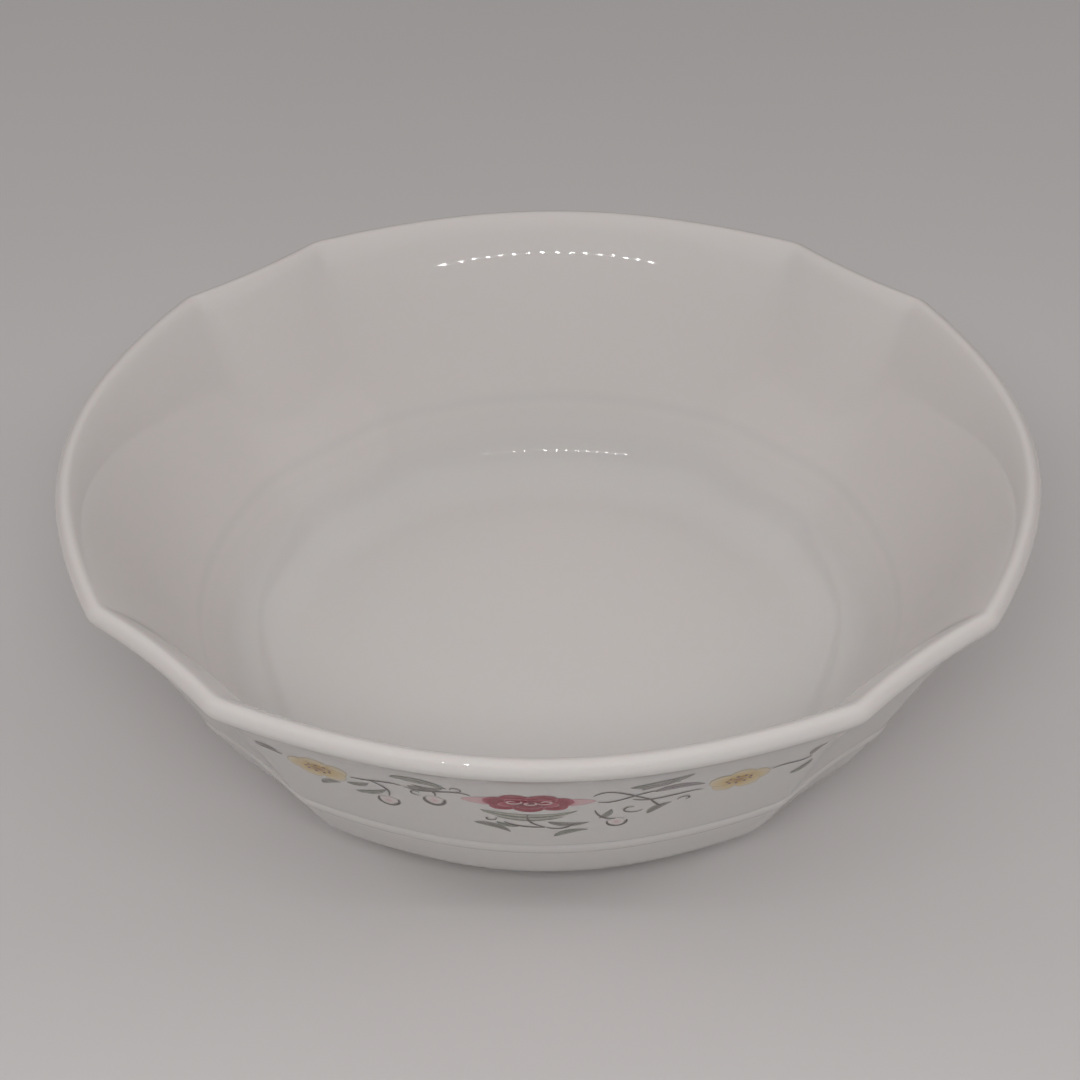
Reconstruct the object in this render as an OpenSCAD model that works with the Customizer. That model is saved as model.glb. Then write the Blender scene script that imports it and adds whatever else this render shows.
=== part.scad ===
// Porcelain serving bowl with a four-lobed rim, glazed and decorated with rose sprays.
// The frame: +Z up, origin on the table under the middle of the bowl, lobes on +-X and +-Y.
// Millimetres and degrees.

/* [Bowl] */
// Rim diameter, measured across two opposite lobes
bowl_d = 229; // [220:1:240]
// Height of the middle of the lip above the table
lip_z = 69.5; // [67:0.5:72]
// Thickness of the fired wall at the lip
lip_t = 4.2; // [3.6:0.1:4.6]
// Thickness of the floor
floor_t = 4.6; // [4:0.1:5.5]
// How far the lip leans out from upright
lip_lean = 50; // [44:1:56]

/* [Lobes] */
// Half angle of the plain round middle of a lobe
ear_start = 15; // [10:1:20]
// How strongly a lobe's rim draws out towards its corners
ear_gain = 0.177; // [0.1:0.001:0.22]
// Radius in the middle of a hollow, as a part of the radius in the middle of a lobe
hollow_mid = 0.9927; // [0.985:0.0001:0.998]
// How quickly a hollow rises to its corners
hollow_gain = 0.834; // [0.6:0.001:1]
// How softly a corner between a lobe and a hollow is rounded at the rim
rim_blend = 0.006; // [0.004:0.001:0.01]
// The same on the outside of the wall
outside_blend = 0.012; // [0.006:0.001:0.02]
// The same on the inside of the wall and on the floor
inside_blend = 0.05; // [0.02:0.005:0.06]

/* [Foot] */
// Outer radius of the face that the bowl stands on
foot_r = 60; // [58:0.5:61]
// Width of the flat face that the bowl stands on
foot_w = 3; // [2:0.1:4]
// Depth of the recess inside the foot ring
foot_h = 3.4; // [2.8:0.1:4]

/* [Band] */
// Height of the raised band's lower edge above the table
band_z = 24.8; // [23:0.1:27]
// Height of the raised band
band_h = 4; // [3:0.1:5]
// How far the raised band stands proud
band_proud = 0.45; // [0.2:0.05:0.6]

/* [Glaze and print] */
// Thickness of the glaze
glaze_t = 0.3; // [0.2:0.05:0.4]
// Thickness of the fired-on print
print_t = 0.15; // [0.1:0.01:0.2]

/* [Hidden] */
SIDES = ["front", "right", "back", "left"];
PRINTS = ["rose_print", "blossom_print", "leaf_print", "stem_print"];

// Steps round the bowl: the corners of the lobes fall on a step when this is 64
steps = 64;
clay_white = [0.93, 0.91, 0.88];
glaze_white = [0.86, 0.84, 0.82];
rose_red = [0.62, 0.10, 0.20];
blossom_yellow = [0.86, 0.74, 0.36];
leaf_green = [0.42, 0.46, 0.38];
stem_grey = [0.36, 0.35, 0.36];

function square_of(x) = x * x;
function unit(v) = v / norm(v);
function toward(p, a, d) = p + d * [cos(a), sin(a)];
function lean_dir(a) = [sin(a), cos(a)];
function side_angle(side) = side == "front" ? -90 : side == "right" ? 0 : side == "back" ? 90 : 180;

// Four lobes with shallow hollows between them: the smaller of two curves, blended at the corners
function off_lobe(a) = let (b = ((a % 90) + 90) % 90) min(b, 90 - b);
function ear(u) = 1 + ear_gain * square_of(max(u - ear_start, 0) * PI / 180);
function hollow(u) = hollow_mid + hollow_gain * square_of((45 - u) * PI / 180);
function smaller(a, b, k) = let (h = min(max(0.5 + (b - a) / (2 * k), 0), 1))
    b * (1 - h) + a * h - k * h * (1 - h);
function lobe(a, blend) = smaller(ear(off_lobe(a)), hollow(off_lobe(a)), blend);

// The rounding grows from the rim down to its full value, over a reach of height
outside_reach = 12;
inside_reach = 26;
function rounding(z, full, reach) = rim_blend + (full - rim_blend) * min(max((lip_z - z) / reach, 0), 1);
function outside(points) = [for (p = points) [p[0], p[1], rounding(p[1], outside_blend, outside_reach)]];
function inside(points) = [for (p = points) [p[0], p[1], rounding(p[1], inside_blend, inside_reach)]];

// A cubic curve through two ends, pulled by two handles
function bezier(p, t) = pow(1 - t, 3) * p[0] + 3 * t * square_of(1 - t) * p[1]
    + 3 * square_of(t) * (1 - t) * p[2] + pow(t, 3) * p[3];

// The rounded end of the lip, and the middle of the turn from the wall into the floor
lip_end = [bowl_d / 2 - glaze_t - lip_t / 2, lip_z];
turn = [63.5, lip_z - 41.8];
turn_out_r = 24.2;
turn_in_r = turn[1] - foot_h - floor_t;
wall_lean = 30;

// How long the handles of the two wall curves are, at the foot of the wall and under the lip
outside_pull = [20, 13];
inside_pull = [19, 15];

// The outside and the inside of the wall, each from the turn up to the lip
wall_low = toward(turn, -wall_lean, turn_out_r);
wall_top = toward(lip_end, -lip_lean, lip_t / 2);
wall_curve = [wall_low, wall_low + outside_pull[0] * lean_dir(wall_lean),
              wall_top - outside_pull[1] * lean_dir(lip_lean), wall_top];
inner_low = toward(turn, -wall_lean, turn_in_r);
inner_top = toward(lip_end, 180 - lip_lean, lip_t / 2);
inner_curve = [inner_low, inner_low + inside_pull[0] * lean_dir(wall_lean),
               inner_top - inside_pull[1] * lean_dir(lip_lean), inner_top];

// How far along the outside curve a height lies, found by halving, and the outside radius there
function curve_at(z, low = 0, high = 1, n = 20) = let (mid = (low + high) / 2)
    n == 0 ? mid
    : bezier(wall_curve, mid)[1] < z ? curve_at(z, mid, high, n - 1) : curve_at(z, low, mid, n - 1);
function wall_r(z) = bezier(wall_curve, curve_at(z))[0];

// The raised band: a low crown between two fine grooves
band_margin = 0.6;
groove = 0.15;
band_top = band_z + band_h;
band_points = concat(
    [[wall_r(band_z - band_margin), band_z - band_margin]],
    [for (q = [0, 0.2, 0.5, 0.8, 1]) let (rise = q == 0 || q == 1 ? -groove : band_proud * sin(180 * q))
        [wall_r(band_z + q * band_h) + rise, band_z + q * band_h]],
    [[wall_r(band_top + band_margin), band_top + band_margin]]);

// The half section, from the middle of the underside round the lip to the middle of the floor. Each point is
// a radius, a height and how far the corners of the lobes are rounded there.
foot_edge = 0.4;
foot_in = foot_r - foot_w;
under_points = [[0, foot_h], [foot_in - 4, foot_h], [foot_in - 1.2, foot_h - 0.9]];
foot_points = [[foot_in - foot_edge, foot_edge], [foot_in, 0], [foot_r, 0], [foot_r + foot_edge, foot_edge]];
foot_side = [[foot_r + 1.2, 2.5]];
turn_points = [for (a = [-82:16:-34]) toward(turn, a, turn_out_r)];
below_band = [for (t = [0.3, 0.65]) bezier(wall_curve, t * curve_at(band_z))];
above_band = let (from = curve_at(band_top + band_margin))
    [for (t = [0.2:0.2:0.81]) bezier(wall_curve, from + t * (1 - from))];
lip_points = [for (a = [-lip_lean:36:181 - lip_lean]) toward(lip_end, a, lip_t / 2)];
inner_points = [for (t = [0.84:-0.14:0.13]) bezier(inner_curve, t)];
floor_points = concat([for (a = [-wall_lean:-15:-76]) toward(turn, a, turn_in_r)],
                      [for (r = [turn[0], 34, 0]) [r, foot_h + floor_t]]);
section = concat(
    outside(concat(under_points, foot_points, foot_side, turn_points, below_band, band_points, above_band, lip_points)),
    inside(concat(inner_points, floor_points)));

// The same section moved out, square to itself
function flat(p) = [p[0], p[1]];
function moved_out(i, d) = let (
    run = unit(flat(section[min(i + 1, len(section) - 1)]) - flat(section[max(i - 1, 0)])))
    section[i] + d * [run[1], -run[0], 0];

// The main glaze starts just above the face that the bowl stands on, and the recess has its own
glaze_from = len(under_points) + len(foot_points) - 1;
glaze_half = concat([for (i = [len(section) - 1:-1:glaze_from]) section[i]],
                    [for (i = [glaze_from:len(section) - 1]) moved_out(i, glaze_t)]);
recess_last = len(under_points) - 1;
recess_half = concat([for (i = [0:recess_last]) moved_out(i, glaze_t)],
                     [for (i = [recess_last:-1:0]) section[i]]);

// A solid from a half section that starts and ends on the axis, drawn in and out by the lobes.
// Each four-sided patch is split along the same diagonal whichever way the section runs.
function height_key(p) = p[1] + p[0] / 1000;
function patch(a, b, s, rising) = let (n = (s + 1) % steps)
    rising ? [[a + s, b + s, b + n], [a + s, b + n, a + n]] : [[a + s, b + s, a + n], [b + s, b + n, a + n]];
module lobed_solid(half) {
    rings = len(half) - 2;
    last = 1 + rings * steps;
    points = concat([[0, 0, half[0][1]]],
        [for (i = [1:rings]) for (s = [0:steps - 1]) let (a = 360 * s / steps, r = half[i][0] * lobe(a, half[i][2]))
            [r * cos(a), r * sin(a), half[i][1]]],
        [[0, 0, half[rings + 1][1]]]);
    faces = concat(
        [for (s = [0:steps - 1]) [0, 1 + s, 1 + (s + 1) % steps]],
        [for (i = [1:rings - 1]) for (s = [0:steps - 1]) let (rising = height_key(half[i]) < height_key(half[i + 1]))
            each patch(1 + (i - 1) * steps, 1 + i * steps, s, rising)],
        [for (s = [0:steps - 1]) [last, last - steps + (s + 1) % steps, last - steps + s]]);
    polyhedron(points = points, faces = faces, convexity = 6);
}

// A place on the outside: mm right of a lobe's middle, mm up the wall from the band, mm proud of the glaze
wall_rise = 0.885;
print_gap = 0.04;
print_from = band_top + 1.2;
function on_wall(side, x, up, proud) = let (
    z = print_from + wall_rise * up, r = wall_r(z), slope = wall_r(z + 0.5) - wall_r(z - 0.5),
    off = unit([1, -slope]) * (glaze_t + print_gap + proud),
    a = side_angle(side) + x / r * 180 / PI,
    out = (r + off[0]) * lobe(a, rounding(z, outside_blend, outside_reach)))
    [out * cos(a), out * sin(a), z + off[1]];

// A blot: an outline round a middle point, top and underside
function blot_points(side, at, outline) = [for (proud = [print_t, 0]) each concat(
    [on_wall(side, at[0], at[1], proud)],
    [for (p = outline) on_wall(side, at[0] + p[0], at[1] + p[1], proud)])];
function blot_faces(n, first) = [for (i = [0:n - 1]) let (
    top = first + 1 + i, next = first + 1 + (i + 1) % n, down = n + 1) each [
    [first, next, top], [first + down, top + down, next + down],
    [top, next, next + down], [top, next + down, top + down]]];

// A ribbon along a row of stations, each [x, up, half width], pointed at both ends
function across(row, i) = let (
    after = row[min(i + 1, len(row) - 1)], before = row[max(i - 1, 0)],
    run = unit([after[0] - before[0], after[1] - before[1]])) [-run[1], run[0]] * row[i][2];
function ribbon_outline(row) = concat(
    [for (i = [0:len(row) - 1]) [row[i][0], row[i][1]] - across(row, i)],
    [for (i = [len(row) - 2:-1:1]) [row[i][0], row[i][1]] + across(row, i)]);
function ribbon_points(side, row) =
    [for (proud = [print_t, 0]) for (p = ribbon_outline(row)) on_wall(side, p[0], p[1], proud)];
function ribbon_faces(n, first) = let (m = 2 * n - 2,
    sheet = concat([[0, 1, m - 1]],
        [for (i = [1:n - 3]) each [[i, i + 1, m - 1 - i], [i, m - 1 - i, m - i]]],
        [[n - 2, n - 1, n]])) concat(
    [for (f = sheet) [first + f[0], first + f[2], first + f[1]]],
    [for (f = sheet) [first + m + f[0], first + m + f[1], first + m + f[2]]],
    [for (i = [0:m - 1]) let (j = (i + 1) % m) each [
        [first + i, first + j, first + m + j], [first + i, first + m + j, first + m + i]]]);

// Motif outlines, in mm on the wall: a scalloped round, a leaf and a stem bent sideways along its length
function scallop(wide, high, petals, depth, n) = [for (i = [0:n - 1]) let (
    a = 360 * i / n, k = 1 - depth * abs(sin(petals * a / 2))) [wide / 2 * k * cos(a), high / 2 * k * sin(a)]];
function strip_row(from, to, bend, widths) = let (run = to - from, aside = [-run[1], run[0]], n = len(widths) - 1)
    [for (i = [0:n]) let (q = i / n, mid = from + q * run + bend * sin(180 * q) * aside)
        [mid[0], mid[1], widths[i] / 2]];
function leaf_row(from, to, wide, bend) = strip_row(from, to, bend, wide * [0, 0.75, 1, 0.85, 0.5, 0]);
function stem_row(from, to, bend) = strip_row(from, to, bend, stem_wide * [0, 1, 1, 1, 1, 1, 0]);

// One spray, in mm right of the lobe's middle and mm up the wall from the band
stem_wide = 0.6;
roses = [[[-1.5, 26], scallop(19, 12.5, 7, 0.16, 28)]];
blossoms = [
    [[-46, 24.5], scallop(15, 8.5, 5, 0.24, 20)],
    [[43, 23.5], scallop(15, 8.5, 5, 0.24, 20)],
    [[-21, 22], scallop(3.6, 4.6, 3, 0.15, 12)],
    [[-31.5, 15.5], scallop(4, 4.6, 3, 0.15, 12)],
    [[16.7, 11], scallop(3.4, 4, 3, 0.15, 12)]];
leaves = [
    leaf_row([-12.5, 18.6], [9.5, 19], 2.4, -0.1),
    leaf_row([-29.5, 31.5], [-18.5, 30], 3.2, 0.12),
    leaf_row([-38.5, 16], [-35.5, 19.5], 1.8, -0.1),
    leaf_row([-45, 15.5], [-40.5, 18], 1.9, 0.15),
    leaf_row([-12.5, 10.5], [-6.5, 7.5], 2.2, 0.1),
    leaf_row([4.4, 6], [10.5, 8.5], 2, 0.12),
    leaf_row([20, 31.5], [32, 33.5], 3.2, -0.1),
    leaf_row([25, 27], [34, 28.5], 2.6, 0.12),
    leaf_row([24, 14.5], [29, 18], 2, 0.1),
    leaf_row([54, 17], [58.5, 21.5], 1.8, -0.12)];
stems = [
    stem_row([-13, 27], [-26, 26.5], 0.12),
    stem_row([-29, 27], [-37, 24], -0.1),
    stem_row([-22.5, 18.5], [-28.5, 15], 0.2),
    stem_row([-2, 13.5], [4.6, 12], -0.2),
    stem_row([11.5, 29], [22.5, 21], -0.22),
    stem_row([12.5, 18], [16, 13.8], 0.25),
    stem_row([24, 22], [34, 22.5], 0.1)];

// How many points the motifs before this one have
function points_before(counts, i) = i == 0 ? 0 : counts[i - 1] + points_before(counts, i - 1);

module blots(side, motifs) {
    counts = [for (motif = motifs) 2 + 2 * len(motif[1])];
    polyhedron(
        points = [for (motif = motifs) each blot_points(side, motif[0], motif[1])],
        faces = [for (i = [0:len(motifs) - 1]) each blot_faces(len(motifs[i][1]), points_before(counts, i))],
        convexity = 10);
}

module ribbons(side, rows) {
    counts = [for (row = rows) 4 * len(row) - 4];
    polyhedron(
        points = [for (row = rows) each ribbon_points(side, row)],
        faces = [for (i = [0:len(rows) - 1]) each ribbon_faces(len(rows[i]), points_before(counts, i))],
        convexity = 10);
}

// The fired clay: floor, wall, lip, raised band and foot ring, cast in one
module porcelain_body() {
    color(clay_white) lobed_solid(section);
}

// The clear white glaze over everything but the foot's standing face and the recess
module main_glaze_coat() {
    color(glaze_white) lobed_solid(glaze_half);
}

// The glaze inside the foot ring
module foot_glaze_coat() {
    color(glaze_white) lobed_solid(recess_half);
}

module rose_print(side) {
    color(rose_red) blots(side, roses);
}

module blossom_print(side) {
    color(blossom_yellow) blots(side, blossoms);
}

module leaf_print(side) {
    color(leaf_green) ribbons(side, leaves);
}

module stem_print(side) {
    color(stem_grey) ribbons(side, stems);
}

porcelain_body();
main_glaze_coat();
foot_glaze_coat();
for (side = SIDES) {
    rose_print(side);
    blossom_print(side);
    leaf_print(side);
    stem_print(side);
}
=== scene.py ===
"""A lobed porcelain serving bowl: one clay casting under clear glaze, with four fired-on rose sprays."""

import math

import bpy
import numpy as np
from mathutils import Matrix, Vector


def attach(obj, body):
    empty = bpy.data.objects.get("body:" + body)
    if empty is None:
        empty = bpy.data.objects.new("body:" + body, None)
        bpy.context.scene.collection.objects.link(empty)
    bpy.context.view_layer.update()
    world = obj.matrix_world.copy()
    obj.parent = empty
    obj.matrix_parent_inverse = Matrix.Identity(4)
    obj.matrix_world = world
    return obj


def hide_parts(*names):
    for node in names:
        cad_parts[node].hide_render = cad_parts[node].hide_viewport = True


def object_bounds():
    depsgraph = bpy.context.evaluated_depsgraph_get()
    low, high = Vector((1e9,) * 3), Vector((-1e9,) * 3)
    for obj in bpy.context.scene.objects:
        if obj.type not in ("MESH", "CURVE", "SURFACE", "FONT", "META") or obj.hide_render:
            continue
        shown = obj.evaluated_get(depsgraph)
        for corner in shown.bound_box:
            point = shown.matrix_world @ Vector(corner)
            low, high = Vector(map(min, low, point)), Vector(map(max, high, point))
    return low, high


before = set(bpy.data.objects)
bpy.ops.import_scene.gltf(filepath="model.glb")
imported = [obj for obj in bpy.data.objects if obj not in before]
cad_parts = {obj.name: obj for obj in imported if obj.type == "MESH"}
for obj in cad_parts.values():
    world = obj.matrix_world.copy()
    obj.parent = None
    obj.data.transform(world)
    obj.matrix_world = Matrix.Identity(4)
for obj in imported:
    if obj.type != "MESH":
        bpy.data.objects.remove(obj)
cad_low, cad_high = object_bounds()
mm = 0.001

# ---------------------------------------------------------------------------------------------
# The clay body: floor, wall, flared lip, raised band and foot ring are one slip casting in white
# porcelain. It is fired hard, and stays bare only on the ring that it stands on.
# ---------------------------------------------------------------------------------------------
glaze_thick = 0.3 * mm
lip_half = 2.1 * mm
lip_lean = 50.0
lip_middle = np.array([cad_high.x, cad_high.z]) - glaze_thick - lip_half

turn_middle = np.array([63.5, 27.7]) * mm
turn_outside = 24.2 * mm
turn_inside = 19.7 * mm
wall_lean = 30.0
outside_pull = (20 * mm, 13 * mm)
inside_pull = (19 * mm, 15 * mm)

foot_low = 0.4 * mm
foot_out = 60.0 * mm
foot_in = 57.0 * mm
recess_high = 3.4 * mm
floor_high = 8.0 * mm

band_low = 24.8 * mm
band_tall = 4.0 * mm
band_proud = 0.45 * mm
groove_deep = 0.22 * mm
groove_wide = 0.42 * mm

ear_start = math.radians(15.0)
ear_gain = 0.177
hollow_middle = 0.9927
hollow_gain = 0.834
rim_blend = 0.006
outside_blend = 0.012
outside_reach = 12 * mm
inside_blend = 0.05
inside_reach = 26 * mm
corner_angle = math.radians(34.5)
corner_crowd = 6
corner_wide = 0.035
body_columns = 320


def off_lobe(angle):
    """The angle from the nearest lobe's middle, from 0 to 45 degrees, in radians."""
    quarter = np.mod(angle, math.pi / 2)
    return np.minimum(quarter, math.pi / 2 - quarter)


def lobe(angle, blend):
    """How far a direction draws out: the ear grows with the square of the angle past its plain middle,
    and the hollow with the square of the angle from its own middle. The smaller one holds, rounded by
    the blend."""
    off = off_lobe(angle)
    ear = 1 + ear_gain * np.maximum(off - ear_start, 0) ** 2
    hollow = hollow_middle + hollow_gain * (math.pi / 4 - off) ** 2
    share = np.clip(0.5 + (hollow - ear) / (2 * blend), 0, 1)
    return hollow * (1 - share) + ear * share - blend * share * (1 - share)


def round_the_bowl(count):
    """Angles all the way round, in radians, drawn together at the eight corners by a bell curve of
    crowding."""
    fine = np.linspace(0, 2 * math.pi, 4001)
    crowding = 1 + corner_crowd * np.exp(-(((off_lobe(fine) - corner_angle) / corner_wide) ** 2))
    run = np.concatenate([[0], np.cumsum((crowding[1:] + crowding[:-1]) / 2)])
    return np.interp(np.linspace(0, run[-1], count, endpoint=False), run, fine)


def arc(middle, radius, start, end, count=40):
    """Points on a circle, from the start angle to the end angle, in degrees from the outward
    direction."""
    a = np.radians(np.linspace(start, end, count))[:, None]
    return middle + radius * np.hstack([np.cos(a), np.sin(a)])


def curve(ends, count=120):
    """A cubic curve: each point weighs the two ends and their two handles by the cubic Bernstein
    terms."""
    t = np.linspace(0, 1, count)[:, None]
    a, b, c, d = (np.asarray(p, float) for p in ends)
    return (1 - t) ** 3 * a + 3 * t * (1 - t) ** 2 * b + 3 * t ** 2 * (1 - t) * c + t ** 3 * d


def bend(a, corner, b, count=12):
    """A rounded corner: the two thirds points toward the corner are the handles of a cubic curve."""
    a, corner, b = (np.asarray(p, float) for p in (a, corner, b))
    return curve([a, a + (corner - a) * 2 / 3, b + (corner - b) * 2 / 3, b], count)


def lean(angle):
    """A unit step up a wall that leans out from upright by an angle in degrees."""
    return np.array([math.sin(math.radians(angle)), math.cos(math.radians(angle))])


def squared_off(line):
    """Unit steps square to a line and away from the clay: each run between neighbours turned a quarter
    to the right."""
    run = np.gradient(line[:, :2], axis=0)
    run /= np.linalg.norm(run, axis=1)[:, None]
    return np.column_stack([run[:, 1], -run[:, 0]])


def spaced(line, step, turn):
    """The same line with its points set anew: each stretch costs its length over step plus its bending
    over turn degrees, and the points are even in that cost."""
    run = np.diff(line[:, :2], axis=0)
    length = np.hypot(run[:, 0], run[:, 1])
    heading = np.unwrap(np.arctan2(run[:, 1], run[:, 0]))
    cost = length / step + np.abs(np.diff(heading, prepend=heading[0])) / math.radians(turn)
    run = np.concatenate([[0], np.cumsum(cost)])
    wanted = np.linspace(0, run[-1], int(run[-1]) + 2)
    return np.column_stack([np.interp(wanted, run, column) for column in line.T])


wall_foot = arc(turn_middle, turn_outside, -wall_lean, -wall_lean, 1)[0]
wall_head = arc(lip_middle, lip_half, -lip_lean, -lip_lean, 1)[0]
wall_line = curve([wall_foot, wall_foot + outside_pull[0] * lean(wall_lean),
                   wall_head - outside_pull[1] * lean(lip_lean), wall_head], 900)
inner_foot = arc(turn_middle, turn_inside, -wall_lean, -wall_lean, 1)[0]
inner_head = arc(lip_middle, lip_half, 180 - lip_lean, 180 - lip_lean, 1)[0]
inner_line = curve([inner_head, inner_head - inside_pull[1] * lean(lip_lean),
                    inner_foot + inside_pull[0] * lean(wall_lean), inner_foot])


def band_relief(z):
    """The raised band: half a sine wave between its edges, less a bell-shaped groove along each
    edge."""
    across = np.clip((z - band_low) / band_tall, 0, 1)
    edges = (band_low, band_low + band_tall)
    grooves = sum(np.exp(-(((z - edge) / groove_wide) ** 2)) for edge in edges)
    return band_proud * np.sin(math.pi * across) - groove_deep * grooves


banded_line = wall_line + squared_off(wall_line) * band_relief(wall_line[:, 1])[:, None]
recess_edge = np.array([foot_in - 1.2 * mm, recess_high - 0.9 * mm])


def rounding(z, full, reach):
    """How far the lobes' corners are rounded: it grows evenly from the rim down to its full value over
    a reach."""
    return rim_blend + (full - rim_blend) * np.clip((lip_middle[1] - z) / reach, 0, 1)


def rounded(full, reach, *stretches):
    """Stretches of a section end to end, with the rounding of the lobes' corners as a third column."""
    line = np.concatenate(stretches)
    return np.column_stack([line, rounding(line[:, 1], full, reach)])


recess_line = rounded(outside_blend, outside_reach, [[0, recess_high]],
                      bend([foot_in - 4 * mm, recess_high], [foot_in - 1.7 * mm, recess_high], recess_edge))
standing_line = rounded(
    outside_blend, outside_reach, [recess_edge],
    bend([foot_in - foot_low, foot_low * 1.4], [foot_in - foot_low * 0.7, 0], [foot_in + foot_low, 0], 6),
    bend([foot_out - foot_low, 0], [foot_out + foot_low * 0.4, 0], [foot_out + foot_low, foot_low], 6))
outer_line = rounded(
    outside_blend, outside_reach, standing_line[-1:, :2],
    bend([foot_out + 1.0 * mm, 2.1 * mm], [foot_out + 1.3 * mm, 3.0 * mm], [foot_out + 3.0 * mm, 3.2 * mm]),
    arc(turn_middle, turn_outside, -82, -wall_lean)[:-1], banded_line[:-1],
    arc(lip_middle, lip_half, -lip_lean, 180 - lip_lean, 60)[:-1])
inside_line = rounded(inside_blend, inside_reach, inner_line[:-1],
                      arc(turn_middle, turn_inside, -wall_lean, -90), [[0, floor_high]])
shell_line = np.concatenate([outer_line, inside_line])


def turned(line, columns):
    """Rings of points: each point of a half section goes round the middle at its radius times the lobe
    factor. The section's third column is how far the corners of the lobes are rounded there."""
    angle = round_the_bowl(columns)
    out = line[:, :1] * lobe(angle, line[:, 2:])
    return np.stack([out * np.cos(angle), out * np.sin(angle), np.broadcast_to(line[:, 1:2], out.shape)], -1)


def skin(rings):
    """The points, four-sided faces and end triangles of a closed skin: each ring joins the one before
    it, and the first and last rings shrink to their middles."""
    rows, columns = rings.shape[:2]
    points = np.concatenate([rings[:1].mean(1), rings[1:-1].reshape(-1, rings.shape[2]), rings[-1:].mean(1)])
    ring = 1 + np.arange((rows - 2) * columns).reshape(rows - 2, columns)
    after = np.roll(ring, -1, 1)
    quads = np.stack([ring[:-1], after[:-1], after[1:], ring[1:]], -1).reshape(-1, 4)
    first, last = np.zeros(columns, int), np.full(columns, len(points) - 1)
    ends = np.concatenate([np.stack([first, after[0], ring[0]], -1),
                           np.stack([last, ring[-1], after[-1]], -1)])
    return points, quads, ends


def shaped(name, skins, material, node, extras):
    """One piece from its skins. Columns past the third of each point become the named attributes, a
    colour taking three columns and a mask one."""
    counts = np.cumsum([0] + [len(points) for points, _, _ in skins])
    points = np.concatenate([points for points, _, _ in skins])
    quads = np.concatenate([quads + first for (_, quads, _), first in zip(skins, counts)])
    ends = np.concatenate([ends + first for (_, _, ends), first in zip(skins, counts)])
    mesh = bpy.data.meshes.new(name)
    mesh.from_pydata(points[:, :3].tolist(), [], quads.tolist() + ends.tolist())
    mesh.polygons.foreach_set("use_smooth", np.ones(len(mesh.polygons), bool))
    for title, columns in extras.items():
        values = points[:, columns]
        if values.shape[1] == 1:
            mesh.attributes.new(title, "FLOAT", "POINT").data.foreach_set("value", values.ravel())
        else:
            colours = np.column_stack([values, np.ones(len(values))])
            mesh.attributes.new(title, "FLOAT_COLOR", "POINT").data.foreach_set("color", colours.ravel())
    mesh.materials.append(material)
    mesh.update()
    piece = bpy.data.objects.new(name, mesh)
    bpy.context.scene.collection.objects.link(piece)
    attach(piece, "root")
    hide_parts(node)
    return piece


class Nodes:
    """A material or a group under construction: add() makes a node with its settings, and wire() joins
    two sockets."""

    def __init__(self, tree):
        """Takes the node tree that everything is added to."""
        self.tree = tree

    def add(self, kind, inputs=None, **settings):
        """A new node of a kind, with its own settings and its inputs' plain values."""
        made = self.tree.nodes.new(kind)
        for key, value in settings.items():
            setattr(made, key, value)
        for key, value in (inputs or {}).items():
            made.inputs[key].default_value = value
        return made

    def wire(self, source, target):
        """A link from one socket to another."""
        self.tree.links.new(source, target)

    def ramp(self, stops):
        """A colour ramp from its (place, grey) stops."""
        made = self.add("ShaderNodeValToRGB")
        marks = made.color_ramp.elements
        while len(marks) < len(stops):
            marks.new(0.5)
        for mark, (place, grey) in zip(marks, stops):
            mark.position = place
            mark.color = (grey, grey, grey, 1)
        return made

    def mix(self, share, first, second, blend="MIX"):
        """A colour mix: each of share, first and second is a socket to wire or a plain value."""
        made = self.add("ShaderNodeMix", data_type="RGBA", blend_type=blend)
        colours = [socket for socket in made.inputs if socket.type == "RGBA"]
        for target, value in ((made.inputs["Factor"], share), (colours[0], first), (colours[1], second)):
            if isinstance(value, bpy.types.NodeSocket):
                self.wire(value, target)
            else:
                target.default_value = (*value, 1) if target in colours else value
        return [s for s in made.outputs if s.type == "RGBA"][0]


def surface(name, **settings):
    """A new material with its Principled shader, whose own sockets take the settings."""
    made = bpy.data.materials.new(name)
    made.use_nodes = True
    nodes = Nodes(made.node_tree)
    shader = made.node_tree.nodes["Principled BSDF"]
    for key, value in settings.items():
        shader.inputs[key.replace("_", " ")].default_value = value
    return made, nodes, shader


clay_pale = (0.80, 0.76, 0.70)
clay_dull = (0.70, 0.655, 0.60)


def bare_clay():
    """Unglazed porcelain: warm white and matt, with fine grit from a small noise and a faint mottle
    from a large one."""
    made, nodes, shader = surface("bare_clay", IOR=1.5)
    place = nodes.add("ShaderNodeTexCoord")
    grit = nodes.add("ShaderNodeTexNoise", {"Scale": 2600.0, "Detail": 3.0, "Roughness": 0.6})
    mottle = nodes.add("ShaderNodeTexNoise", {"Scale": 90.0, "Detail": 2.0})
    bump = nodes.add("ShaderNodeBump", {"Strength": 0.35, "Distance": 0.0001})
    dry = nodes.ramp([(0.3, 0.62), (0.7, 0.78)])
    for noise in (grit, mottle):
        nodes.wire(place.outputs["Object"], noise.inputs["Vector"])
    nodes.wire(grit.outputs["Fac"], bump.inputs["Height"])
    nodes.wire(mottle.outputs["Fac"], dry.inputs["Fac"])
    mottled = nodes.mix(mottle.outputs["Fac"], clay_pale, clay_dull)
    nodes.wire(mottled, shader.inputs["Base Color"])
    nodes.wire(dry.outputs["Color"], shader.inputs["Roughness"])
    nodes.wire(bump.outputs["Normal"], shader.inputs["Normal"])
    return made


body_line = np.concatenate([spaced(recess_line, 4 * mm, 12), spaced(standing_line, 0.6 * mm, 12)[1:],
                            spaced(shell_line, 4 * mm, 12)[1:]])
shaped("porcelain_body", [skin(turned(body_line, body_columns))], bare_clay(),
       "porcelain_body", {})

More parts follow.
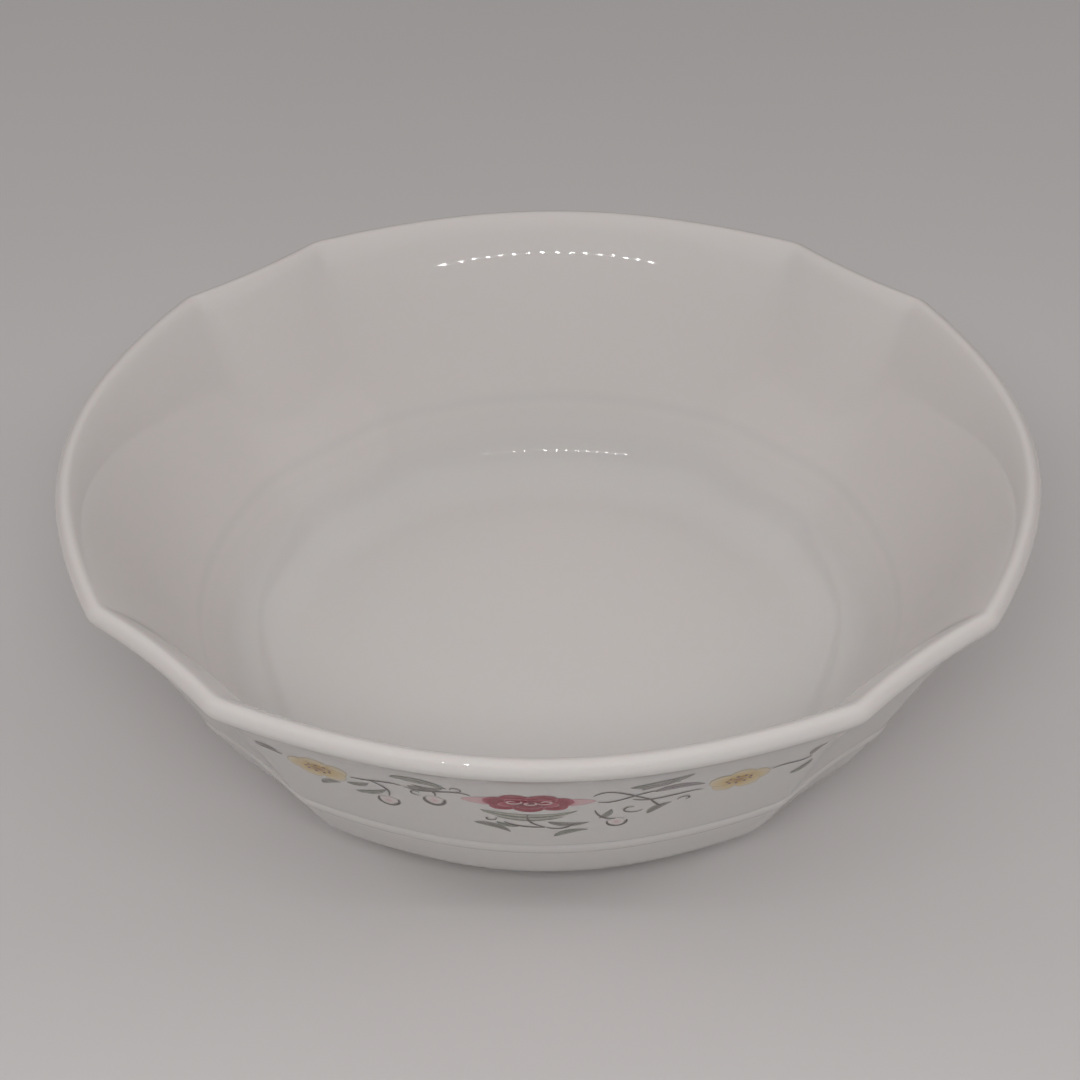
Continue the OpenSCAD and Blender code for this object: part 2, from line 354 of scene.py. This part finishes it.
# ---------------------------------------------------------------------------------------------
# The main glaze: a clear, slightly warm glass skin, poured on and fired over the inside, the lip
# and the outside. It thins on the lip, and pools in the grooves, the foot's corner and the cove.
# ---------------------------------------------------------------------------------------------
glaze_white = (0.70, 0.658, 0.638)
glaze_pool = (0.655, 0.63, 0.617)
glaze_thin = (0.755, 0.705, 0.68)
warm_tint = (1.0, 0.985, 0.975)
cool_tint = (0.97, 0.975, 0.985)
pin_hole = (0.42, 0.38, 0.34)
glaze_columns = 272
wave_high = 0.00002


def pooling(line):
    """Where the glaze gathers, from 0 on the lip to 1 in a groove: bell curves round each place, added
    up."""
    r, z = line[:, 0], line[:, 1]
    edges = (band_low, band_low + band_tall)
    grooves = sum(np.exp(-(((z - edge) / (1.3 * groove_wide)) ** 2)) for edge in edges)
    grooves = grooves * (r > turn_middle[0] + turn_inside)
    corner = np.exp(-((np.hypot(r - foot_out - 2 * mm, z - 3 * mm) / (2.2 * mm)) ** 2))
    cove = 0.35 * np.exp(-((np.hypot(r - 0.078, z - 0.0135) / (9 * mm)) ** 2))
    lip = np.exp(-((np.hypot(r - lip_middle[0], z - lip_middle[1] - lip_half / 2) / (2.6 * mm)) ** 2))
    return np.clip(0.4 + grooves * 0.6 + corner * 0.6 + cove - lip * 0.4, 0, 1)


def glazed(line, step, turn, columns):
    """A glaze coat on a half section: out along the clay, then back along the same line moved off by
    its thickness."""
    clay = spaced(line, 2.2 * step, 2 * turn)
    moved_off = line[:, :2] + squared_off(line) * glaze_thick
    coat = spaced(np.column_stack([moved_off, line[:, 2]]), step, turn)
    if line[0, 0] > line[-1, 0]:
        rounds = np.concatenate([clay[::-1], coat])
    else:
        rounds = np.concatenate([coat, clay[::-1]])
    rings = turned(rounds, columns)
    pool = np.broadcast_to(pooling(rounds)[:, None, None], (*rings.shape[:2], 1))
    return skin(np.concatenate([rings, pool], -1))


def ripple_group():
    """The slow waves and fine orange peel that a fired glass surface has, as a normal for any coat on
    the bowl."""
    group = bpy.data.node_groups.new("fired_ripple", "ShaderNodeTree")
    for name, default in (("Wave Height", wave_high), ("Peel Height", 0.000001)):
        socket = group.interface.new_socket(name, in_out="INPUT", socket_type="NodeSocketFloat")
        socket.default_value = default
    group.interface.new_socket("Normal", in_out="OUTPUT", socket_type="NodeSocketVector")
    nodes = Nodes(group)
    given, result = nodes.add("NodeGroupInput"), nodes.add("NodeGroupOutput")
    place = nodes.add("ShaderNodeTexCoord")
    wave = nodes.add("ShaderNodeTexNoise", {"Scale": 38.0, "Detail": 1.0})
    peel = nodes.add("ShaderNodeTexNoise", {"Scale": 420.0, "Detail": 2.0})
    first = nodes.add("ShaderNodeBump", {"Strength": 1.0})
    second = nodes.add("ShaderNodeBump", {"Strength": 1.0})
    for noise, bump, height in ((wave, first, "Wave Height"), (peel, second, "Peel Height")):
        nodes.wire(place.outputs["Object"], noise.inputs["Vector"])
        nodes.wire(noise.outputs["Fac"], bump.inputs["Height"])
        nodes.wire(given.outputs[height], bump.inputs["Distance"])
    nodes.wire(first.outputs["Normal"], second.inputs["Normal"])
    nodes.wire(second.outputs["Normal"], result.inputs["Normal"])
    return group


fired_ripple = ripple_group()


def rippled(nodes, shader, peel):
    """Puts the shared ripple on a shader, with its own height of orange peel in metres."""
    ripple = nodes.add("ShaderNodeGroup", node_tree=fired_ripple)
    ripple.inputs["Wave Height"].default_value = wave_high
    ripple.inputs["Peel Height"].default_value = peel
    nodes.wire(ripple.outputs["Normal"], shader.inputs["Normal"])


def clear_glaze():
    """Glossy glass over white clay: the pooling mask shades it, a cloudy noise tints it, and rare dots
    are pin holes."""
    made, nodes, shader = surface("clear_glaze", Specular_IOR_Level=0.12, Coat_Weight=0.8,
                                  Coat_Roughness=0.03, Coat_IOR=1.52, Subsurface_Weight=0.12,
                                  Subsurface_Scale=0.004)
    place = nodes.add("ShaderNodeTexCoord")
    pool = nodes.add("ShaderNodeAttribute", attribute_name="pool")
    cloud = nodes.add("ShaderNodeTexNoise", {"Scale": 14.0, "Detail": 3.0, "Roughness": 0.55})
    dots = nodes.add("ShaderNodeTexVoronoi", {"Scale": 170.0})
    rare = nodes.ramp([(0.0, 1.0), (0.045, 0.0)])
    some = nodes.ramp([(0.86, 0.0), (0.9, 1.0)])
    gloss = nodes.ramp([(0.35, 0.29), (0.65, 0.37)])
    for texture in (cloud, dots):
        nodes.wire(place.outputs["Object"], texture.inputs["Vector"])
    nodes.wire(dots.outputs["Distance"], rare.inputs["Fac"])
    nodes.wire(dots.outputs["Color"], some.inputs["Fac"])
    speck = nodes.mix(1.0, rare.outputs["Color"], some.outputs["Color"], "MULTIPLY")
    depth = nodes.mix(pool.outputs["Fac"], glaze_thin, glaze_pool)
    tinted = nodes.mix(cloud.outputs["Fac"], warm_tint, cool_tint)
    coloured = nodes.mix(1.0, depth, tinted, "MULTIPLY")
    nodes.wire(nodes.mix(speck, coloured, pin_hole), shader.inputs["Base Color"])
    nodes.wire(cloud.outputs["Fac"], gloss.inputs["Fac"])
    nodes.wire(gloss.outputs["Color"], shader.inputs["Roughness"])
    rippled(nodes, shader, 0.0000003)
    return made


glaze = clear_glaze()
shaped("main_glaze_coat", [glazed(shell_line, 2.6 * mm, 7, glaze_columns)], glaze,
       "main_glaze_coat", {"pool": [3]})

# ---------------------------------------------------------------------------------------------
# The recess glaze: the same glass inside the foot ring. The ring between the two coats is wiped
# clean before firing, so that the bowl doesn't stick to its kiln shelf.
# ---------------------------------------------------------------------------------------------
shaped("foot_glaze_coat", [glazed(recess_line, 2.0 * mm, 7, 240)], glaze, "foot_glaze_coat",
       {"pool": [3]})

# ---------------------------------------------------------------------------------------------
# The rose of each spray: crimson and pink overglaze enamel from a transfer sheet, one on the
# middle of every lobe. Its petals overlap, its heart has pale curls, and a wisp fades out at each side.
# ---------------------------------------------------------------------------------------------
sides = {"front": -90, "right": 0, "back": 90, "left": 180}
print_low = band_low + band_tall + 1.2 * mm
print_rise = 0.885
print_gap = 0.04 * mm
ink_layer = 0.03 * mm


def on_wall(flat, side):
    """Flat motif points, in mm right, mm up and metres proud, laid on the outside: up follows the
    wall's lean, and right is an arc from the lobe's middle. Anything after the third column is carried
    along."""
    z = print_low + print_rise * mm * flat[..., 1]
    r = np.interp(z, wall_line[:, 1], wall_line[:, 0])
    slope = np.interp(z, wall_line[:, 1], np.gradient(wall_line[:, 0], wall_line[:, 1]))
    proud = (glaze_thick + print_gap + flat[..., 2]) / np.sqrt(1 + slope ** 2)
    angle = math.radians(side) + flat[..., 0] * mm / r
    out = (r + proud) * lobe(angle, rounding(z, outside_blend, outside_reach))
    place = np.stack([out * np.cos(angle), out * np.sin(angle), z - slope * proud], -1)
    return np.concatenate([place, flat[..., 3:]], -1)


def inked(share, inks):
    """Colours along a row of inks: share 0 takes the first and 1 the last, with even steps between."""
    marks = np.linspace(0, 1, len(inks))
    return np.stack([np.interp(share, marks, [ink[i] for ink in inks]) for i in range(3)], -1)


def tile(middle, size, inks, layer=0, edge=None, turn=0.0, heart=None, rim=None, spokes=40):
    """A painted shape in rings, from under its middle out to its edge and back over its top.
    edge(angle) scales the outline, heart is where the first ink starts, and rim is the ink of a thin
    outline."""
    reach = np.array([0, 1, 1, 0.99, 0.88, 0.72, 0.54, 0.36, 0.18, 0])[:, None]
    over = np.array([0, 0, 0.6, 1, 1, 1, 1, 1, 1, 1])[:, None]
    angle = np.linspace(0, 2 * math.pi, spokes, endpoint=False)
    out = reach * (edge(angle) if edge else 1)
    x, up = out * np.cos(angle) * size[0] / 2, out * np.sin(angle) * size[1] / 2
    c, s = math.cos(math.radians(turn)), math.sin(math.radians(turn))
    x, up = middle[0] + c * x - s * up, middle[1] + s * x + c * up
    near = heart or (*middle, max(size) / 2)
    colour = inked(np.hypot(x - near[0], (up - near[1]) * size[0] / size[1]) / near[2], inks)
    if rim is not None:
        line = np.broadcast_to(np.clip((reach - 0.88) / 0.11, 0, 1)[..., None], (*x.shape, 1))
        colour = colour * (1 - line) + np.array(rim) * line
    proud = np.broadcast_to((layer + over * 0.9) * ink_layer, x.shape)
    return np.concatenate([np.stack([x, up, proud], -1), colour], -1)


def stroke(path, wide, inks, layer=0, taper=0.6, fullest=1.0, vein=None):
    """A brush stroke: sections across a path, half as wide as wide times the sine of the way along it,
    to the power taper. The inks run from its middle out to its edges, and vein is the ink of a line
    down its middle."""
    run = np.gradient(path, axis=0)
    run /= np.linalg.norm(run, axis=1)[:, None]
    way = np.linspace(0, 1, len(path)) ** fullest
    half = wide / 2 * np.maximum(np.sin(math.pi * way), 0) ** taper
    across = np.array([-1, -0.96, -0.5, -0.12, 0.12, 0.5, 0.96, 1, 0.98, -0.98])
    over = np.array([0.5, 1, 1, 1, 1, 1, 1, 0.5, 0, 0])
    aside = np.stack([run[:, 1], -run[:, 0]], -1)[:, None]
    flat = path[:, None] + (half[:, None] * across)[..., None] * aside
    colour = np.broadcast_to(inked(np.abs(across), inks), (*flat.shape[:2], 3)).copy()
    if vein is not None:
        colour[:, 3:5] = vein
    proud = np.broadcast_to((layer + over * 0.9) * ink_layer, flat.shape[:2])
    return np.concatenate([flat, proud[..., None], colour], -1)


def scallop(petals, depth):
    """An outline factor for tile: 1 less depth times the size of a sine, one dip between each two
    petals."""
    return lambda angle: 1 - depth * np.abs(np.sin(petals * angle / 2))


def spiral(middle, radii, angles, squash=1.0, count=22):
    """Points that turn about a middle, with the radius and the angle in degrees both changing
    evenly."""
    a = np.radians(np.linspace(*angles, count))
    r = np.linspace(*radii, count)
    return np.column_stack([middle[0] + r * np.cos(a), middle[1] + squash * r * np.sin(a)])


deep_crimson = (0.105, 0.004, 0.012)
crimson = (0.27, 0.010, 0.034)
rose_pink = (0.50, 0.115, 0.165)
blush = (0.66, 0.43, 0.45)
pale_curl = (0.70, 0.49, 0.50)
outer_outline = (0.46, 0.13, 0.18)
inner_outline = (0.56, 0.27, 0.31)


def rose_motifs():
    """A fading wisp to each side, seven outer petals, five inner petals, the dark heart and its pale
    curls."""
    middle = np.array([-1.5, 24.6])
    near = (*middle, 10.6)
    made = [tile(middle + [way * 8.6, 0.3], (10.6, 4.4), [crimson, crimson, rose_pink, blush, blush], 0,
                 scallop(4, 0.12), 0.0, (*middle, 14.0)) for way in (-1, 1)]
    for k in range(7):
        a = 2 * math.pi * k / 7 + 0.22
        at = middle + np.array([6.2, 2.5]) * [math.cos(a), math.sin(a)]
        made.append(tile(at, (7.6, 4.6), [deep_crimson, crimson, crimson, crimson, rose_pink], 1 + k % 2,
                         lambda t: 1 - 0.12 * np.cos(2 * t), 16 * math.sin(2 * a), near, outer_outline))
    for k in range(5):
        a = 2 * math.pi * k / 5 - 0.3
        at = middle + np.array([3.7, 1.5]) * [math.cos(a), math.sin(a)]
        made.append(tile(at, (5.6, 3.4), [deep_crimson, crimson, rose_pink], 3 + k % 2,
                         None, 16 * math.sin(2 * a), (*middle, 7.0), inner_outline))
    made.append(tile(middle, (8.0, 3.6), [deep_crimson, crimson], 5, scallop(5, 0.1)))
    for at, radii, angles in (((-4.7, 25.5), (0.5, 2.0), (20, 400)),
                              ((1.9, 25.6), (0.5, 2.0), (200, -170)),
                              ((-1.4, 24.8), (0.4, 1.8), (90, 420))):
        made.append(stroke(spiral(at, radii, angles, 0.66), 0.62, [pale_curl, blush], 6, 0.4))
    return made


def enamel(name, roughness, grain, wear):
    """Overglaze enamel: the paint attribute is its colour, broken up by the fine screen of the
    transfer, and a coarse noise lets a little of the white below through."""
    made, nodes, shader = surface(name, Specular_IOR_Level=0.12, Coat_Weight=0.4, Coat_Roughness=0.03)
    place = nodes.add("ShaderNodeTexCoord")
    paint = nodes.add("ShaderNodeAttribute", attribute_name="paint")
    screen = nodes.add("ShaderNodeTexVoronoi", {"Scale": 3600.0})
    blots = nodes.add("ShaderNodeTexNoise", {"Scale": 650.0, "Detail": 3.0})
    dot = nodes.ramp([(0.25, 0.0), (0.75, grain)])
    thin = nodes.ramp([(0.52, 0.0), (0.72, wear)])
    gloss = nodes.ramp([(0.3, roughness), (0.7, roughness + 0.08)])
    for texture in (screen, blots):
        nodes.wire(place.outputs["Object"], texture.inputs["Vector"])
    nodes.wire(screen.outputs["Distance"], dot.inputs["Fac"])
    nodes.wire(blots.outputs["Fac"], thin.inputs["Fac"])
    nodes.wire(blots.outputs["Fac"], gloss.inputs["Fac"])
    dotted = nodes.mix(dot.outputs["Color"], paint.outputs["Color"], glaze_white)
    nodes.wire(nodes.mix(thin.outputs["Color"], dotted, glaze_white), shader.inputs["Base Color"])
    nodes.wire(gloss.outputs["Color"], shader.inputs["Roughness"])
    rippled(nodes, shader, 0.0000008)
    return made


def printed(kind, motifs, material):
    """The same motifs fired on each of the four lobes, one piece a side."""
    for side, angle in sides.items():
        name = f"{side}_{kind}_print"
        shaped(name, [skin(on_wall(flat, angle)) for flat in motifs], material, name,
               {"paint": [3, 4, 5]})


printed("rose", rose_motifs(), enamel("rose_enamel", 0.10, 0.04, 0.06))

# ---------------------------------------------------------------------------------------------
# The blossoms and buds: thin pale yellow enamel with ochre hearts and dusky stamens, and small
# pale buds that sit in cups of stem ink.
# ---------------------------------------------------------------------------------------------
pale_yellow = (0.68, 0.56, 0.33)
warm_yellow = (0.62, 0.44, 0.16)
ochre = (0.36, 0.19, 0.045)
burnt_ochre = (0.30, 0.15, 0.03)
blossom_outline = (0.62, 0.52, 0.33)
dusky = (0.20, 0.12, 0.15)
ink_dark = (0.055, 0.048, 0.045)
ink_grey = (0.22, 0.20, 0.19)


def blossom_motifs():
    """Two five-petalled blossoms with hearts and stamens, and three buds."""
    made = []
    for at, wide, tilt in (((-46.5, 24.8), 15.0, 12), ((42.6, 23.6), 14.6, -10)):
        middle = np.array(at)
        for k in range(5):
            a = 2 * math.pi * k / 5 + math.radians(90 + tilt)
            place = middle + np.array([0.285 * wide, 0.17 * wide]) * [math.cos(a), math.sin(a)]
            inks = [ochre, warm_yellow, pale_yellow, glaze_white]
            made.append(tile(place, (0.47 * wide, 0.36 * wide), inks, k % 2,
                             lambda t: 1 - 0.14 * np.cos(2 * t) - 0.05 * np.abs(np.sin(2.5 * t)),
                             math.degrees(a), (*middle, 0.58 * wide), blossom_outline))
        made.append(tile(middle, (0.3 * wide, 0.2 * wide), [burnt_ochre, ochre, warm_yellow], 2,
                         scallop(8, 0.12)))
        for k in range(9):
            a = 2 * math.pi * k / 9 + 0.3
            place = middle + np.array([0.185 * wide, 0.12 * wide]) * [math.cos(a), math.sin(a)]
            made.append(tile(place, (0.72, 0.66), [dusky, dusky], 3, spokes=12))
    for at, size, tilt in (((-21, 21.6), (3.4, 4.8), 8), ((-31.4, 16.0), (3.8, 4.6), -12),
                           ((16.5, 11.6), (3.4, 4.2), 20)):
        made.append(tile(at, size, [blush, glaze_white, glaze_white], 1,
                         lambda t: 1 - 0.1 * np.cos(3 * t + 1.6), tilt))
    return made


printed("blossom", blossom_motifs(), enamel("blossom_enamel", 0.11, 0.12, 0.15))

# ---------------------------------------------------------------------------------------------
# The leaves: grey-green enamel strokes with a darker vein and edge, some washed thin and some
# ending in a dark brush tip.
# ---------------------------------------------------------------------------------------------
leaf_pale = (0.43, 0.435, 0.37)
leaf_green = (0.30, 0.315, 0.26)
leaf_dark = (0.13, 0.135, 0.115)
mauve = (0.34, 0.27, 0.30)


def arched(start, end, rise, count=16):
    """A path from start to end that bows to its left by rise times its length."""
    start, end = np.array(start, float), np.array(end, float)
    side = np.array([start[1] - end[1], end[0] - start[0]]) * rise * 4 / 3
    return curve([start, start + (end - start) / 3 + side, end - (end - start) / 3 + side, end], count)


def leaf_motifs():
    """Each leaf is one stroke: where it starts and ends, its width, its bow and its inks."""
    wash = [leaf_pale, leaf_green, leaf_dark]
    tip = [leaf_dark, ink_grey, leaf_green]
    cup = [leaf_pale, leaf_pale, leaf_green]
    dusk = [mauve, mauve, ink_grey]
    rows = [((-11.6, 19.4), (8.6, 19.8), 3.2, -0.17, cup), ((-8.4, 16.1), (5.6, 16.4), 1.0, -0.13, tip),
            ((-30.0, 32.2), (-18.0, 29.6), 3.3, 0.13, wash), ((-26.5, 27.8), (-18.6, 30.0), 2.2, -0.14, tip),
            ((-38.8, 17.0), (-31.4, 22.4), 2.0, -0.12, wash), ((-46.6, 15.8), (-42.0, 19.4), 2.1, 0.15, tip),
            ((-40.4, 20.8), (-35.2, 24.0), 2.0, -0.15, tip), ((-61.0, 29.6), (-55.6, 28.0), 1.6, 0.10, dusk),
            ((-13.2, 11.6), (-5.6, 7.2), 2.3, 0.14, tip), ((-8.4, 12.8), (-3.8, 10.6), 1.4, -0.12, wash),
            ((3.4, 5.0), (10.6, 8.4), 2.0, 0.14, wash), ((2.2, 13.6), (10.8, 12.8), 2.2, -0.16, tip),
            ((19.2, 31.2), (32.6, 34.6), 3.4, -0.11, wash), ((21.6, 28.6), (29.8, 31.0), 2.0, 0.12, dusk),
            ((24.4, 26.6), (35.2, 25.6), 2.8, 0.14, dusk), ((23.0, 14.0), (28.2, 18.6), 2.2, 0.12, tip),
            ((12.8, 14.6), (15.4, 19.2), 1.7, -0.14, wash), ((54.6, 17.4), (59.6, 22.6), 2.0, -0.14, wash),
            ((58.6, 26.0), (62.4, 30.8), 1.8, 0.12, dusk)]
    return [stroke(arched(start, end, bow), wide, inks, 0, 0.8, 0.8, leaf_dark)
            for start, end, wide, bow, inks in rows]


printed("leaf", leaf_motifs(), enamel("leaf_enamel", 0.11, 0.16, 0.22))

# ---------------------------------------------------------------------------------------------
# The stems: hair-thin dark brush lines that curl between the flowers, cup the buds and end in
# small hooks.
# ---------------------------------------------------------------------------------------------


def stem_motifs():
    """Each stem is a curve through its two ends and two handles, or a turn of a spiral."""
    curves = [
        ([-13, 27], [-17, 31], [-22, 24], [-27.5, 27.0]),
        ([-27.5, 27], [-31, 28.6], [-35, 25], [-39.5, 25.0]),
        ([-20.8, 24.2], [-20.0, 27], [-22.5, 28.6], [-25.5, 29.4]),
        ([-31.2, 18.6], [-30, 22], [-32, 24.5], [-35, 26]),
        ([-54.5, 26.5], [-57, 28], [-59, 27.4], [-61, 28.6]),
        ([-1.8, 17.8], [-2.4, 14.5], [-1.2, 12.2], [1.8, 10.4]),
        ([1.8, 10.4], [4.4, 8.8], [6.2, 9.8], [8.0, 12.6]),
        ([-7.0, 13.4], [-4.4, 10.2], [-0.6, 10.6], [1.8, 10.4]),
        ([11.6, 27.6], [15, 33.6], [19.4, 26.0], [23.6, 22.4]),
        ([12.4, 24.4], [16, 21.4], [20.8, 27.8], [25.2, 27.0]),
        ([12.0, 19.6], [12.4, 15.4], [14.6, 13.0], [16.4, 13.8]),
        ([19.6, 24.0], [24, 20.0], [29, 24.0], [35, 22.8]),
        ([23.4, 22.4], [24.4, 20.2], [24.8, 18.8], [25.8, 17.6]),
        ([49.8, 24.4], [53.4, 26.6], [56, 22.4], [59.4, 25.2]),
    ]
    spirals = [
        ((-21.0, 22.0), (2.2, 2.2), (-195, 15), 1.35, 1.15),
        ((-31.4, 16.2), (2.2, 2.4), (-215, 30), 1.15, 0.85),
        ((16.6, 11.8), (2.1, 2.1), (-200, 15), 1.15, 0.8),
        ((19.8, 18.4), (0.9, 2.8), (60, 330), 0.9, 0.45),
        ((-24.6, 24.6), (0.5, 1.8), (10, 300), 0.9, 0.4),
        ((-16.6, 30.0), (0.5, 1.9), (200, -80), 0.8, 0.4),
        ((31.0, 19.4), (0.5, 1.7), (-90, 190), 0.9, 0.4),
        ((-9.8, 14.8), (0.4, 1.5), (120, 380), 0.9, 0.4),
    ]
    made = [stroke(curve(ends, 22), 0.55, [ink_dark, ink_grey], 1, 0.35) for ends in curves]
    made += [stroke(spiral(at, radii, turns, squash), wide, [ink_dark, ink_grey], 2, 0.5)
             for at, radii, turns, squash, wide in spirals]
    return made


printed("stem", stem_motifs(), enamel("stem_enamel", 0.12, 0.10, 0.12))

# ---------------------------------------------------------------------------------------------
# The studio: a plain pale floor, one broad soft light overhead, a weak fill from each side and a
# short bar of small lamps above the camera, whose sparks show how glossy the glaze is.
# ---------------------------------------------------------------------------------------------
floor_wide = 6.0
floor_pale = (0.645, 0.65, 0.645)
floor_dull = (0.615, 0.62, 0.615)
spark_count = 16
spark_apart = 22 * mm
spark_wide = 5 * mm
studio_air = (0.60, 0.575, 0.565, 1)


def plain_floor():
    """A flat pale floor, with a very faint mottle in its colour."""
    made, nodes, shader = surface("pale_floor", Roughness=0.75)
    place = nodes.add("ShaderNodeTexCoord")
    mottle = nodes.add("ShaderNodeTexNoise", {"Scale": 6.0, "Detail": 4.0})
    nodes.wire(place.outputs["Object"], mottle.inputs["Vector"])
    nodes.wire(nodes.mix(mottle.outputs["Fac"], floor_dull, floor_pale), shader.inputs["Base Color"])
    bpy.ops.mesh.primitive_plane_add(size=floor_wide, location=(0, 0, 0))
    floor = bpy.context.object
    floor.name = "floor"
    floor.data.materials.append(made)


def lamp(name, place, aim, size, power, colour=(1, 1, 1)):
    """A rectangular soft light at a place, turned to shine at its aim."""
    data = bpy.data.lights.new(name, "AREA")
    data.shape = "RECTANGLE"
    data.size, data.size_y = size
    data.energy = power
    data.color = colour
    made = bpy.data.objects.new(name, data)
    made.location = place
    made.rotation_euler = (Vector(aim) - Vector(place)).to_track_quat("-Z", "Y").to_euler()
    bpy.context.scene.collection.objects.link(made)
    return made


plain_floor()
lamp("overhead", (0, 0.5, 1.7), (0, 0.2, 0), (3.4, 3.2), 12.5, (1.0, 0.972, 0.96))
key = lamp("key", (0, -0.80, 0.74), (0, 0, 0.05), (0.60, 0.28), 4.3, (1.0, 0.955, 0.95))
key.visible_glossy = False
for side in (-1, 1):
    fill = lamp(f"fill_{side}", (side * 0.95, -0.05, 0.62), (0, 0, 0.05), (0.5, 0.5), 1.9,
                (1.0, 0.88, 0.88))
    fill.visible_glossy = False
for k in range(spark_count):
    across = (k - (spark_count - 1) / 2) * spark_apart
    place = (across, -0.25, 0.36 + 0.002 * (k % 2))
    lamp(f"spark_{k:02d}", place, (0, 0, 0.06), (spark_wide, spark_wide), 0.007)

world = bpy.data.worlds.new("studio")
world.use_nodes = True
world.node_tree.nodes["Background"].inputs["Color"].default_value = studio_air
world.node_tree.nodes["Background"].inputs["Strength"].default_value = 0.13
bpy.context.scene.world = world
bpy.context.scene.view_settings.view_transform = "Standard"

camera_place = Vector((0.0133, -0.4263, 0.3589))
camera_aim = Vector((-0.0288, 0.8023, -0.5963))
camera_roll = math.radians(0.854)
camera_data = bpy.data.cameras.new("camera")
camera_data.lens = 72.8
camera_data.clip_start = 0.01
camera = bpy.data.objects.new("camera", camera_data)
camera_turn = camera_aim.to_track_quat("-Z", "Y").to_matrix().to_4x4()
camera.matrix_world = (Matrix.Translation(camera_place) @ camera_turn
                       @ Matrix.Rotation(-camera_roll, 4, "Z"))
bpy.context.scene.collection.objects.link(camera)
bpy.context.scene.camera = camera
